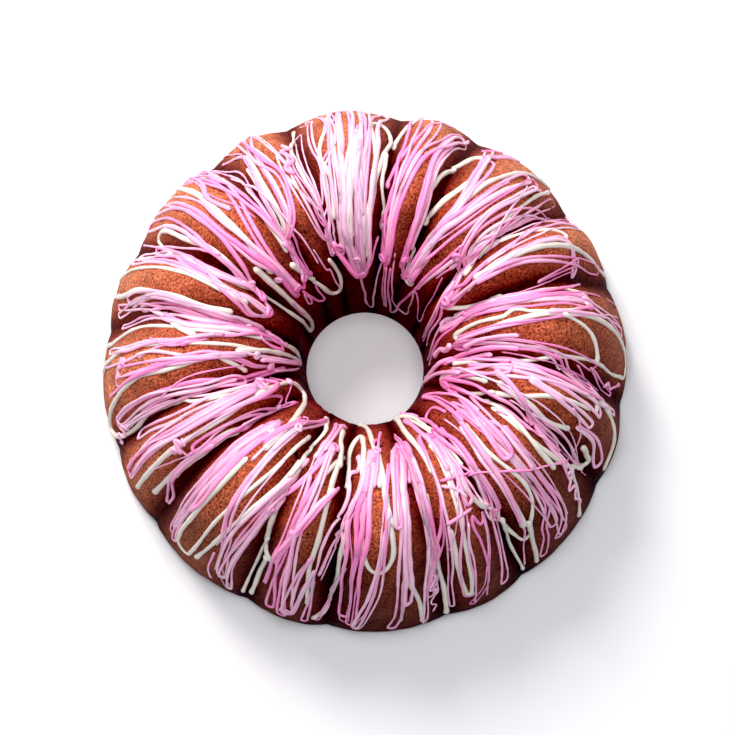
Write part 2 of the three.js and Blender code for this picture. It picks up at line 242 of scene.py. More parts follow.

# Pink strands, read off the photograph, each from its inner end.
PINK_ROUTES = (
    (17, 36, 14.8, 50, 14.8, 58, 17, 72),
    (19, 29, 14.5, 43, 12.6, 53, 11.5, 65),
    (13.5, 30, 12.5, 40, 12, 52, 11.3, 65),
    (16, 26, 13.2, 44, 11.6, 56, 10.8, 66),
    (15, 33, 12.6, 48, 12.6, 58, 11.4, 66),
    (11.5, 64, 9, 75, 7.4, 86),
    (7.5, 53, 7, 64, 7.5, 74, 7, 87),
    (2, 32, 3.8, 42, 5.5, 54, 8, 60, 9.2, 67),
    (1, 35, -1.5, 47, -3, 60, -4, 70),
    (-1, 31, -2.5, 43, -5, 54, -8.5, 60, -13, 70),
    (-3, 32, -4, 46, -5.5, 57, -9, 62, -12, 69),
    (-6, 64, -9, 73, -12.5, 81),
    (-5.5, 69, -7, 78, -8.5, 87),
    (-11, 28, -9.5, 42, -12, 56, -13.4, 68, -13, 86),
    (-9.5, 33, -10.8, 47, -12.8, 57, -13.8, 70, -12.2, 84),
    (-12.5, 35, -12, 48, -13.2, 60, -14.6, 72),
    (-19, 24, -17, 40, -14.5, 52, -13.8, 66),
    (-15, 50, -17.4, 59, -18.5, 70),
    (-16, 43, -21.5, 50, -25.5, 55, -28.5, 62, -31.5, 75),
    (-18.5, 61, -22, 69, -26, 76, -28.6, 83),
    (-23, 27, -19.5, 36, -16, 45),
    (66.5, 32, 67.5, 45, 69, 55, 68, 64, 65.5, 80),
    (65.8, 30, 66.8, 44, 68.2, 55, 67.2, 66, 65, 85),
    (67.4, 32, 68.3, 46, 69.6, 56, 68.8, 66, 66.6, 83),
    (65, 33, 66, 44, 67.4, 54, 66.4, 64, 64.6, 80),
    (59, 29, 56.5, 42, 56, 52, 57.5, 64, 60, 82),
    (58, 30, 55.5, 44, 55.5, 54, 56.8, 66),
    (57, 67, 54.5, 75, 52.3, 83),
    (58, 28, 56, 42, 53, 48, 50, 57, 47.6, 72),
    (57, 29, 54, 40, 50.3, 53, 48.6, 63),
    (56.5, 29, 52, 37, 47, 47, 44.5, 57, 43, 77),
    (56, 30, 51, 39, 46.2, 49, 44, 60, 43.8, 75),
    (28.5, 31, 36, 37, 42.5, 43, 43.5, 50, 40.5, 63, 38, 74, 33.5, 87),
    (28.5, 32, 36, 38, 40, 44, 38, 53, 38.5, 70, 39.5, 85),
    (28, 32, 34, 37, 37, 44, 36, 58, 35.5, 70, 33, 88),
    (27.5, 32, 31, 42, 31.3, 53, 31.5, 67, 31, 85),
    (25, 33, 27.5, 42, 29.5, 53, 28.5, 64, 25, 67, 21.5, 69),
    (27, 41, 26, 49, 23.5, 57, 21.5, 68, 20.5, 86),
    (18.5, 55, 20, 62, 21.5, 69),
    (29, 31, 37.5, 36, 42, 41, 45, 50, 43.6, 60, 43.4, 72),
    (75.5, 31, 77, 42, 74.5, 54, 70, 64, 67.5, 81),
    (80, 35, 75.5, 49, 73, 58, 71.5, 66, 73, 89),
    (82.5, 47, 79, 55, 76, 61, 72.5, 75, 69, 88),
    (76, 30, 78, 40, 77.5, 48, 76.5, 61, 77, 93),
    (92, 25, 93.5, 33, 92.5, 42, 91.5, 49, 89.5, 58, 89, 80),
    (92, 25, 92, 35, 91.2, 43, 90.3, 52, 90, 64, 90.5, 84),
    (91.5, 26, 91, 36, 90.3, 46, 88.8, 56, 88.7, 66, 86.5, 88),
    (93, 26, 95, 34, 93.6, 44, 92.2, 53, 91, 65, 92, 87),
    (95, 26, 101.5, 35, 100, 43, 98.8, 50, 96.5, 58, 96, 88),
    (94, 25, 99, 37, 97.7, 45, 97.5, 53, 97, 70, 95.5, 89),
    (103, 33, 102, 40, 100.5, 50, 98.5, 60, 94.5, 87),
    (108, 31, 107, 40, 104.5, 45, 102.5, 53, 98.5, 58, 98.5, 72, 100, 91),
    (106.5, 32, 104.5, 42, 103, 54, 104, 60, 103.5, 72, 102.5, 80, 100.5, 88, 98.8, 80, 97.5, 68),
    (109, 32, 107.5, 41, 107.5, 48, 108, 58, 106, 78),
    (108.5, 32, 111.5, 37, 113, 43, 114, 52, 113, 60),
    (107.5, 31, 108, 39, 114.5, 50, 118, 60, 120, 73),
    (133, 31, 130, 37, 123, 43, 120.5, 50, 120, 58, 119.5, 66, 116.5, 86),
    (128, 38, 121, 45, 118, 53, 120.5, 60, 121, 70, 120.5, 87),
    (131, 33, 127, 42, 124.5, 54, 122.5, 60, 122, 67, 125.5, 87),
    (110, 38, 112.5, 50, 115.5, 62, 117, 75, 117, 88),
    (128, 46, 127.5, 58, 126.5, 64, 127, 76, 128, 83, 131, 91),
    (141, 36, 140, 42, 135.5, 51, 133.5, 56, 132.5, 64, 131, 91),
    (133, 31, 130.5, 37, 130.5, 47, 131.5, 54, 132.5, 64, 134.5, 91),
    (130, 38, 129.6, 48, 130.4, 56, 131.8, 66, 133.5, 89),
    (136, 54, 138, 60, 135.5, 68, 134.5, 86),
    (140, 31, 139.5, 38, 140.5, 44, 141, 52, 139.7, 62, 140.5, 84),
    (141, 36, 145, 44, 144, 54, 143, 66, 142.5, 91),
    (151, 40, 148, 45, 144.5, 54, 143, 68, 144.8, 91),
    (152.5, 39, 151, 44, 149.5, 52, 146, 68, 146.5, 90),
    (152.5, 41, 150.5, 48, 149, 58, 147.5, 70, 148.5, 91),
    (149, 50, 151.5, 62, 152, 75, 151.5, 91),
    (155, 38, 156.5, 43, 157, 51, 155.5, 60, 154, 80),
    (167, 37, 164.5, 42, 161.5, 47, 158.5, 54, 155, 67, 156, 87),
    (157, 35, 156.5, 40, 157.5, 45, 158, 52, 155.5, 63, 155.5, 87),
    (161.5, 34, 160, 39, 161, 46, 160, 53, 158, 63, 157.5, 84),
    (163, 34, 160.5, 44, 159, 52, 157, 62, 157, 80),
    (170.5, 36, 169, 45, 168, 52, 166, 62, 166.5, 77),
    (172, 33, 170.5, 38, 170.5, 48, 169, 57, 169, 71),
    (173, 33, 173.5, 41, 174, 49, 172, 57, 170, 69, 168.5, 86),
    (171.5, 38, 169.5, 50, 167.5, 60, 168.5, 72, 170, 87),
    (175.5, 36, 175.5, 48, 174, 57, 171.5, 66, 171.5, 86),
    (174, 30, 177, 27, 178.5, 29, 176, 34),
    (177.5, 35, 179.5, 42, 180, 48, 183, 53),
    (180, 46, 181.5, 53, 181, 60, 181, 70, 179, 86),
    (180, 48, 182, 54, 182.5, 59, 184, 65),
    (189, 26, 188, 37, 187, 44, 187, 50, 183.5, 60, 183.5, 71, 181.5, 88),
    (193, 32, 192.5, 37, 188.5, 43, 186, 48, 186.5, 54, 187, 63, 186.5, 77),
    (187.5, 45, 188.5, 51, 188, 59, 186.5, 74),
    (188, 42, 187.8, 53, 188, 60, 188.5, 73, 188.5, 86),
    (193.5, 26, 196.5, 37, 196.5, 44, 194.5, 53, 194, 60, 193.5, 68, 194, 87),
    (196.5, 41, 197, 49, 196, 57, 195, 66, 195, 86),
    (200.5, 40, 198.5, 49, 197.5, 56, 197, 66, 196, 85),
    (201.5, 37, 201, 47, 198.5, 55, 196.5, 65, 195.5, 86),
    (202, 38, 202.5, 47, 202, 54, 201.5, 61, 200, 70, 199, 80),
    (203.5, 36, 204, 44, 204, 52, 204, 60, 204, 72, 205, 88),
    (202, 35, 205.5, 41, 205.5, 48, 206, 55, 205, 66, 205, 87),
    (208.5, 37, 209, 46, 208, 54, 206, 68, 206.5, 89),
    (206.5, 40, 208, 50, 208, 59, 206.5, 71, 207, 88),
    (217, 35, 216.5, 44, 214.5, 52, 213, 61),
    (216, 33, 213.5, 40, 213, 48, 213.5, 60),
    (216.4, 34, 215.4, 42, 214.8, 50, 214.6, 58),
    (214.6, 54, 214, 62, 214.5, 72, 217, 84),
    (222, 42, 220, 49, 220.5, 56, 220.5, 65, 220.5, 77, 221, 88),
    (223, 42, 220.8, 52, 221.4, 61, 221.5, 71, 221.3, 85),
    (226, 41, 225, 51, 225, 58, 225, 66, 223.5, 72, 222, 82),
    (224.5, 44, 223, 52, 222.6, 58, 222.4, 68, 221.8, 80),
    (224, 41, 222, 52, 222.2, 63, 221.8, 74, 222.5, 90),
    (225.2, 43, 224, 54, 223.6, 62, 223.4, 70, 222.4, 84),
    (233, 38, 232, 46, 231.5, 55, 232.5, 63, 234.5, 69, 235, 78, 235.5, 85, 238, 94),
    (232, 39, 231.2, 48, 231.3, 57, 232.6, 65, 234.4, 73, 234.8, 86),
    (244.5, 43, 242, 47, 240, 52, 238, 57, 236, 64, 235, 71, 235.5, 87),
    (245.5, 42, 240.5, 52, 240, 58, 238.5, 66, 236.5, 78, 236, 88),
    (241, 56, 239.5, 69, 238.5, 82, 239.5, 93),
    (233.5, 77, 233.5, 88, 234.5, 93),
    (254, 38, 247.5, 46, 242, 53, 240, 57),
    (249.5, 46, 250, 54, 250, 60, 249.5, 66, 248.5, 77, 248, 90),
    (254, 39, 251.5, 48, 250, 55, 249.5, 62, 248.5, 70, 249.8, 89),
    (250.5, 58, 251, 65, 250.5, 77, 250.8, 93),
    (253, 38, 252.5, 48, 251, 58, 251.5, 71, 252, 89),
    (258.5, 47, 253.5, 53, 250, 61, 247.5, 69, 246.5, 82),
    (259.5, 46, 254.5, 53, 251, 60, 249, 66),
    (256, 64, 253.5, 71, 252, 83, 252, 90),
    (257, 70, 255, 83, 254, 89, 252.6, 88),
    (257.5, 74, 257.5, 94),
    (268, 38, 268, 42, 264.5, 42, 264.8, 46, 262, 54, 260, 57, 258.5, 62, 258, 68, 257, 74),
    (266.5, 50, 265, 55, 261.5, 61, 258.5, 72),
    (265, 68, 262.5, 82, 260, 93),
    (276, 37, 271.5, 45, 269.5, 49, 266, 54, 266.7, 64, 266.5, 71, 266.5, 91),
    (277.5, 35, 272.5, 44, 270.3, 50, 268.8, 57, 268.7, 65, 268, 76, 267, 93),
    (275, 40, 271, 47, 267.7, 52, 267.8, 62, 267.2, 71, 266.3, 88),
    (274, 42, 271.8, 49, 271, 56, 269, 66, 268.5, 80, 267.6, 92),
    (278, 52, 276, 58, 274, 65, 271.5, 77, 268.5, 94),
    (280, 41, 277, 48, 275, 56, 274, 62, 272.5, 71, 269, 88, 267.5, 94),
    (286.5, 36, 283, 48, 280.5, 56, 279, 63, 278, 70, 276.5, 86, 274.8, 94),
    (287.5, 35, 284, 48, 282, 56, 280.5, 63, 279, 71, 277.8, 90),
    (286, 38, 282.5, 50, 281, 58, 280, 66, 278.8, 80),
    (285, 36, 281.8, 46, 280.6, 55),
    (292, 36, 290.5, 45, 289.8, 53, 288.5, 60, 286.5, 68, 284, 79, 282.5, 94),
    (289.5, 38, 288, 49, 288.3, 57, 287.3, 63, 286.5, 72, 286, 84),
    (291, 42, 290.8, 54, 290, 62, 290, 68, 287, 77, 286.2, 83),
    (290.6, 38, 289.4, 50, 289.2, 58, 288, 65, 287, 74),
    (294, 54, 291.5, 63, 288.5, 74, 287.5, 80),
    (298, 37, 295.5, 49, 293.3, 57, 292, 66, 290.3, 78, 289, 92),
    (302, 37, 302, 48, 300.7, 55, 299.8, 58, 297, 65, 296, 71, 295, 87),
    (299, 60, 297.2, 65, 296.8, 70, 295.5, 82, 294.5, 93),
    (304, 62, 301.5, 70, 299, 77, 297, 85, 293.5, 93),
    (300.5, 60, 300, 67, 299.3, 77, 298.3, 84, 297.5, 91),
    (311, 36, 310, 47, 308.5, 58, 307.8, 64, 306.5, 71, 304.5, 83, 303.2, 90),
    (305.5, 36, 307, 45, 308, 53, 307.3, 64),
    (310.5, 38, 311.5, 43, 309.8, 54, 308.3, 66),
    (304, 36, 305, 46, 305.6, 55, 305, 63),
    (303, 37, 303.8, 47, 303.2, 56),
    (317, 42, 313.5, 50, 312.3, 60, 311.5, 70, 311.5, 76, 309.5, 85, 308, 92),
    (320, 38, 317, 45, 314.5, 52, 312.8, 62, 311.6, 72),
    (323.5, 45, 320.5, 55, 319.5, 65, 319, 73, 318.5, 81, 318, 88),
    (325, 40, 321.5, 52, 320.2, 62, 319.6, 70, 319, 80),
    (320.5, 43, 319, 54, 318.6, 63, 318.4, 71, 315, 78, 314, 84, 312, 92),
    (325.5, 49, 322.5, 60, 322, 68, 322, 75, 321.2, 83, 319, 88),
    (336, 29, 334.5, 38, 333, 46, 331, 55, 330.5, 66),
    (331.5, 30, 327.5, 39, 324, 46, 321.5, 53),
    (333.5, 33, 328.5, 43, 324, 52, 321.5, 60),
    (341, 45, 336, 56, 335, 66, 333.5, 81),
    (338.5, 66, 338, 77, 335, 88),
)
# A strand that lies clear of its neighbour may have a way back beside it.
RETURN_SHARE = 0.7
RETURN_CLEARANCE = 3.7
RETURN_GAPS = (2.0, 5.0)
RETURN_INNER_SHARES = (-0.3, 0.6)

# Strand ends that lie near each other are linked by a round turn.
LONGEST_LINK = 12.0
MIDDLE_TRAVEL = 0.55
LINK_DEPTHS = (0.35, 0.9)

# Pink strands at the inner side, round the hole, and thin threads down its wall, also read off one by one.
INNER_ROUTES = (
    (300, 20, 306, 25, 309.4, 29, 311, 36),
    (309, 30, 313, 29.5, 317, 31, 318.4, 36),
    (323, 22, 327, 28, 328, 32, 328, 37, 326.4, 43),
    (322, 23.5, 324, 28, 324, 32, 322.4, 39, 321, 46),
    (321.4, 23, 322, 28, 321, 34, 319, 42),
    (288.4, 28, 290, 33, 288.4, 39, 286, 46),
    (289.4, 28, 291.6, 33, 291.6, 39, 290.6, 47),
    (298, 27, 300.4, 33, 301, 40, 300.6, 48),
    (280, 28.5, 277.4, 34, 275.4, 42, 273.4, 47),
    (198, 31, 201, 30, 205, 29, 204.4, 27, 208, 28, 214, 30, 218, 30, 219.6, 27.5, 218, 32.5, 217, 38,
     217.6, 43),
    (219.4, 28, 216.4, 34, 215.6, 40, 215, 46),
    (241, 24.5, 238, 30, 235, 34.5, 231.6, 38, 229.6, 43, 228.4, 50),
    (242, 25, 239.4, 30.5, 236.4, 35, 233.4, 39, 232, 46),
    (240.6, 26, 236.4, 32, 233, 36, 230, 40, 227.4, 46),
    (239.6, 28, 234.4, 34, 231, 36, 228.6, 40, 226.6, 46),
    (231, 34, 233, 33, 234, 36, 231.6, 37, 230.6, 34.5),
    (255.6, 25, 252, 27.5, 251, 33, 250, 39, 249.4, 44),
    (256.4, 26, 253.4, 29, 252.4, 34, 251.2, 40),
    (250, 27, 251, 31, 250, 36, 248.4, 42),
    (49.4, 25.5, 47, 30, 44, 36, 42.4, 41),
    (50.4, 25, 48.4, 31, 45.4, 37, 44.4, 43),
    (28, 30.5, 31, 34, 29, 39, 31.6, 45),
    (18.4, 24, 20, 27.5, 18.4, 31, 16.4, 36, 15.4, 43),
    (357, 10, 363, 17, 369.4, 24.5, 371, 31, 373, 35, 373.4, 42),
    (4, 7, 8, 16, 14, 22, 19, 28, 20, 33),
    (358, 33, 360, 37.5, 360.4, 42, 360, 47),
    (344, 13, 351, 24, 354.4, 30, 356, 35.5, 356.4, 41, 356, 47),
    (340, 10, 345, 20, 351, 27, 353.6, 33, 354.6, 40),
    (352, 29, 350, 34, 349.6, 39, 350, 45),
    (337, 10, 340, 20, 341, 27, 342, 35),
    (358, 19, 361, 23, 359, 26, 361.4, 29),
    (83, 34, 87, 28, 92, 24.3),
    (106, 34, 105, 31, 100, 27, 94.4, 24),
    (131.4, 41, 130.4, 36, 130, 31, 127, 28),
)
HOLE_ROUTES = (
    (93, 23, 90, 15, 85.4, 5, 83, 12, 80, 24, 78.4, 28),
    (76.4, 28, 75.6, 19, 72.4, 7),
    (74.6, 28, 73.6, 19, 70.6, 7),
    (72.4, 28, 71, 20, 66.4, 9, 63.4, 5, 59, 13, 54.4, 19, 50.4, 25),
    (119, 36, 116.4, 29, 114, 28, 112.4, 23, 110, 20),
    (138, 28, 131.4, 20.5, 127, 18.5, 125, 19, 127.4, 24, 126, 28, 125.4, 35, 123, 42),
    (138, 27, 139, 22.5, 136.4, 21.5, 137, 26),
    (147, 28, 148, 24, 147, 21),
    (72, 33, 67, 19, 57.4, 9, 49.4, 16, 50, 25),
    (49.4, 25, 42, 20, 35.4, 14, 37, 24, 41, 33),
    (22, 7, 22.6, 19, 26, 26, 32.6, 31, 36, 36),
    (24, 8, 25, 19, 28.4, 26, 35, 32, 38, 36),
    (16, 9, 19, 18, 22, 25, 28, 31),
)

# Small knots where pink strands gather at their inner ends: angles and travels in percent by turns.
KNOTS = (
    28, 32, 43, 40, 57, 28, 66.5, 31, 77, 30, 92, 25, 95, 30, 103, 33, 108, 31, 133, 31, 140, 31, 144, 36,
    152, 39, 157, 36, 162.5, 34, 171, 36, 188, 37, 193, 32, 201.5, 36, 206, 38, 206, 28, 216, 33, 226, 43,
    233, 38, 254, 38, 276, 38, 287, 34, 303, 37, 336, 29, 349, 28,
)
KNOT_SIZES = (0.8, 1.6)
KNOT_TURNS = 1.3
KNOT_POINTS = 10
KNOT_SHRINK = 0.35
KNOT_STRETCH = 1.3

# Curls where the icing bag paused: start angle and travel, end angle and travel, swings, size of a swing.
CURLS = (
    (182.4, 0.71, 185.4, 0.765, 2.5, 2.6),
    (209.0, 0.585, 211.0, 0.63, 2.0, 2.2),
    (195.8, 0.83, 197.6, 0.93, 2.5, 2.4),
    (286.6, 0.76, 285.0, 0.91, 2.5, 2.4),
    (327.5, 0.72, 325.5, 0.86, 2.5, 3.0),
    (113.2, 0.53, 112.6, 0.66, 2.0, 2.8),
    (60.0, 0.80, 57.5, 0.88, 2.0, 2.4),
    (33.0, 0.86, 36.0, 0.92, 2.5, 2.4),
    (352.8, 0.82, 354.4, 0.90, 1.5, 2.2),
)
CURL_SPREAD = (0.1, 1.1)
CURL_POINTS = 6

# Strands that run across the others, listed one by one.
STRAY_ROUTES = (
    (297, 49, 305, 50.5, 313.5, 54, 320.5, 59, 326, 64, 329, 69, 332, 74),
    (296.5, 50, 300, 52, 301.5, 55),
    (293.5, 58.5, 298, 57.5, 302, 58),
    (173.4, 31, 177, 27.5, 178.6, 26, 176, 25),
    (184, 15, 187.5, 22, 189, 32, 187, 42),
    (186, 14, 190, 24, 190.2, 36),
    (189, 15, 194, 22, 194.8, 30),
)

# Thin threads laid at random: their ends' travels, and how many degrees they lean and bow.
RANDOM_THREADS = 24
THREAD_INNER_TRAVELS = (0.28, 0.5)
THREAD_OUTER_TRAVELS = (0.6, 0.96)
THREAD_LEAN = 6
THREAD_BOW = 1


def smooth_step(value, low, high):
    """0 below low, 1 above high, and an easy curve between them."""
    share = np.clip((value - low) / (high - low), 0, 1)
    return share * share * (3 - 2 * share)


def section_outline():
    """Radius and height along the ring's section, from the hole's lower edge to the outer lower edge."""
    steps = np.linspace(0, 1, SECTION_STEPS)[1:]
    outer_rise = HEIGHT + OUTER_CENTRE_DROP
    outer_end = math.asin((BASE_EDGE + OUTER_CENTRE_DROP) / outer_rise)
    outer_width = (OUTER_RADIUS - CREST_RADIUS) / math.cos(outer_end)
    inner_swing = math.pi - QUARTER * steps
    outer_swing = QUARTER + (outer_end - QUARTER) * steps
    edge_swing = -QUARTER * steps
    radius = np.concatenate([
        [HOLE_RADIUS],
        HOLE_RADIUS + (TUBE_RADIUS - HOLE_RADIUS) * steps,
        CREST_RADIUS + (CREST_RADIUS - TUBE_RADIUS) * np.cos(inner_swing),
        CREST_RADIUS + outer_width * np.cos(outer_swing),
        OUTER_RADIUS - BASE_EDGE + BASE_EDGE * np.cos(edge_swing),
    ])
    height = np.concatenate([
        [0],
        TUBE_HEIGHT * steps,
        TUBE_HEIGHT + (HEIGHT - TUBE_HEIGHT) * np.sin(inner_swing),
        outer_rise * np.sin(outer_swing) - OUTER_CENTRE_DROP,
        BASE_EDGE + BASE_EDGE * np.sin(edge_swing),
    ])
    return radius, height


section_radius, section_height = section_outline()
section_steps = np.hypot(np.diff(section_radius), np.diff(section_height))
SECTION_LENGTH = section_steps.sum()
section_travel = np.concatenate([[0], np.cumsum(section_steps)]) / SECTION_LENGTH
section_normals = np.stack([
    -np.gradient(section_height, section_travel),
    np.gradient(section_radius, section_travel),
])
section_normals /= np.hypot(*section_normals)


def radius_at(travel):
    """The section's radius at a travel, without its flutes."""
    return np.interp(travel, section_travel, section_radius)


def groove_share(angle):
    """0 along the middle of a lobe, 1 at a groove's bottom."""
    into_sector = np.mod(angle - FIRST_LOBE_START, SECTOR)
    in_wide = into_sector < WIDE_LOBE
    wide = np.abs(2 * into_sector / WIDE_LOBE - 1) ** WIDE_ROUNDNESS
    narrow = np.abs(2 * (into_sector - WIDE_LOBE) / (SECTOR - WIDE_LOBE) - 1) ** NARROW_ROUNDNESS
    return np.where(in_wide, wide, narrow)


def groove_depth(radius, height):
    """Deep over the crest, shallow at the foot, and nothing on the tube's wall."""
    inner = GROOVE_DEPTH * smooth_step(height, INNER_GROOVE_START, INNER_GROOVE_FULL)
    rise = smooth_step(height, FOOT_TOP, FULL_GROOVE_HEIGHT)
    outer = FOOT_GROOVE_DEPTH + (GROOVE_DEPTH - FOOT_GROOVE_DEPTH) * rise
    return np.where(radius < CREST_RADIUS, inner, outer)


def surface(angle, travel, lift=0.0):
    """Points of the cake's surface in millimetres, moved out along the section's normal by lift."""
    travel = np.clip(travel, 0, 1)
    lines = (section_radius, section_height, *section_normals)
    radius, height, normal_out, normal_up = (np.interp(travel, section_travel, line) for line in lines)
    at_base_edge = (radius > CREST_RADIUS) & (height < BASE_EDGE)
    normal_out = np.where(at_base_edge, 1.0, normal_out)
    normal_up = np.where(at_base_edge, 0.0, normal_up)
    uneven = sum(size * np.sin(waves * angle + phase) for waves, phase, size in UNEVENNESS)
    groove = groove_depth(radius, height) * groove_share(angle)
    outward = uneven * smooth_step(height, 0, HEIGHT) + lift - groove
    at_radius = radius + normal_out * outward
    at_height = np.where((travel <= 0) | (travel >= 1), 0.0, np.maximum(height + normal_up * outward, 0.0))
    return np.stack([at_radius * np.cos(angle), at_radius * np.sin(angle), at_height], axis=-1)


def unit(vectors):
    """Vectors made one long."""
    return vectors / np.maximum(np.linalg.norm(vectors, axis=-1, keepdims=True), 1e-9)


def surface_normal(angle, travel):
    """The surface's outward direction, from points close by."""
    step = 0.006
    round_ring = surface(angle + step, travel) - surface(angle - step, travel)
    along = surface(angle, travel + step) - surface(angle, travel - step)
    return unit(np.cross(along, round_ring))


class SheetNoise:
    """Smooth noise from -1 to 1 over the cake's surface, which joins up round the ring."""

    def __init__(self, seed, around, along):
        self.around = around
        self.along = along
        self.lattice = np.random.default_rng(seed).uniform(-1, 1, (around, along + 2))

    def __call__(self, angle, travel):
        x = np.mod(angle / FULL_TURN, 1) * self.around
        y = np.clip(travel, 0, 1) * self.along
        column = np.floor(x).astype(int)
        row = np.floor(y).astype(int)
        across = smooth_step(x - column, 0, 1)
        up = smooth_step(y - row, 0, 1)
        column = column % self.around
        following = (column + 1) % self.around
        low = self.lattice[column, row] * (1 - across) + self.lattice[following, row] * across
        high = self.lattice[column, row + 1] * (1 - across) + self.lattice[following, row + 1] * across
        return low * (1 - up) + high * up


def grid_faces(columns, rows, closed):
    """Faces over columns of points. Each column is a ring, and closed joins the last one to the first."""
    starts = columns if closed else columns - 1
    column, row = np.meshgrid(np.arange(starts), np.arange(rows), indexing="ij")
    next_column = (column + 1) % columns
    next_row = (row + 1) % rows
    corners = [
        column * rows + row,
        column * rows + next_row,
        next_column * rows + next_row,
        next_column * rows + row,
    ]
    return np.stack([corner.ravel() for corner in corners], axis=1)


def mesh_object(name, points, faces, material):
    """A smooth mesh piece from points in millimetres, riding with the cake and standing for its solid."""
    mesh = bpy.data.meshes.new(name)
    mesh.from_pydata((points * MM).tolist(), [], faces.tolist())
    mesh.polygons.foreach_set("use_smooth", np.ones(len(mesh.polygons), dtype=bool))
    mesh.update()
    piece = bpy.data.objects.new(name, mesh)
    bpy.context.collection.objects.link(piece)
    mesh.materials.append(material)
    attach(piece, "root")
    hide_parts("cake")
    return piece


def add_values(piece, name, values):
    """Keeps a value at each point of a mesh for its material."""
    attribute = piece.data.attributes.new(name, "FLOAT", "POINT")
    attribute.data.foreach_set("value", values.ravel().astype(np.float32))


def painted_side_shade_share(angle, travel):
    """1 where the crust carries the most painted shade: one side's outer wall. The hole's wall across from
    it gets less of it.
    """
    side = np.cos(angle - math.radians(DARK_SIDE))
    outer = smooth_step(side, *DARK_OUTER_SPREAD) * smooth_step(travel, *DARK_OUTER_TRAVELS)
    into_hole = smooth_step(DARK_INNER_START - travel, *DARK_INNER_REACH)
    inner = smooth_step(-side, *DARK_INNER_SPREAD) * into_hole
    return np.maximum(outer, DARK_INNER_SHARE * inner)


def hollow_share(angle, travel):
    """1 in the middle of a crack or pit, 0 away from them."""
    share = 0.0
    for centre_angle, centre_travel, half_length, half_width in HOLLOWS:
        turn = (angle - math.radians(centre_angle) + math.pi) % FULL_TURN - math.pi
        along = turn * radius_at(centre_travel) / half_length
        across = (travel - centre_travel) * SECTION_LENGTH / half_width
        share = share + np.exp(-((along**2 + across**2) ** 2))
    return share


def crust_relief(angle, travel):
    """The lumps of the baked surface, in millimetres."""
    lumps = 0.0
    for seed, (around, along, size) in enumerate(CRUST_LUMPS):
        lumps = lumps + size * SheetNoise(CRUST_SEED + seed, around, along)(angle, travel)
    lumps = lumps * smooth_step(travel, 0, INNER_FADE) * smooth_step(1 - travel, 0, OUTER_FADE)
    return lumps - HOLLOW_DEPTH * hollow_share(angle, travel)


def crust_piece(material):
    """The baked ring: a closed grid of columns round the ring and rows over the section."""
    angles = FIRST_LOBE_START + FULL_TURN * np.arange(CRUST_COLUMNS) / CRUST_COLUMNS
    travels = np.linspace(0, 1, CRUST_ROWS)
    angle, travel = np.meshgrid(angles, travels, indexing="ij")
    points = surface(angle, travel, crust_relief(angle, travel)).reshape(-1, 3)
    faces = grid_faces(CRUST_COLUMNS, CRUST_ROWS, closed=True)
    piece = mesh_object("cake_body", points, faces, material)
    add_values(piece, "groove", groove_share(angle))
    add_values(piece, "travel", travel)
    add_values(piece, "hollow", hollow_share(angle, travel))
    add_values(piece, "painted_side_shade", painted_side_shade_share(angle, travel))


class IcingSheet:
    """How high the icing lies so far, on a grid, so that a strand lies on those before it."""

    ANGLES = 1800
    TRAVELS = 460
    DISC_CELLS = 9

    def __init__(self):
        self.height = np.zeros((self.ANGLES, self.TRAVELS))
        across = np.linspace(-1, 1, self.DISC_CELLS)
        grid = np.stack(np.meshgrid(across, across), axis=-1).reshape(-1, 2)
        self.disc = grid[np.hypot(*grid.T) <= 1]

    def cells(self, angle, travel, half_width):
        """The grid cells below a strand, one row of them for each of its points."""
        offsets = half_width[:, None, None] * self.disc
        column = (angle[:, None] + offsets[..., 0] / radius_at(travel)[:, None]) / FULL_TURN * self.ANGLES
        row = (travel[:, None] + offsets[..., 1] / SECTION_LENGTH) * (self.TRAVELS - 1)
        column = np.round(column).astype(int) % self.ANGLES
        row = np.clip(np.round(row).astype(int), 0, self.TRAVELS - 1)
        return column, row

    def top(self, angle, travel, half_width):
        """How high the icing lies under a strand."""
        return self.height[self.cells(angle, travel, STRAND_CORE * half_width)].max(axis=1)

    def lay(self, angle, travel, half_width, centre):
        """Adds a strand whose middle lies that high."""
        dome = np.sqrt(1 - np.hypot(*self.disc.T) ** 2)
        tops = centre[:, None] + STRAND_FLATNESS * half_width[:, None] * dome
        np.maximum.at(self.height, self.cells(angle, travel, half_width), tops)


def blurred(values, spread):
    """Values along a strand, smoothed over that many points."""
    reach = max(int(3 * spread), 1)
    kernel = np.exp(-0.5 * (np.arange(-reach, reach + 1) / spread) ** 2)
    padded = np.pad(values, [(reach, reach)] + [(0, 0)] * (values.ndim - 1), mode="edge")
    columns = padded.reshape(len(padded), -1).T
    smooth = [np.convolve(column, kernel / kernel.sum(), mode="valid") for column in columns]
    return np.array(smooth).T.reshape(values.shape)


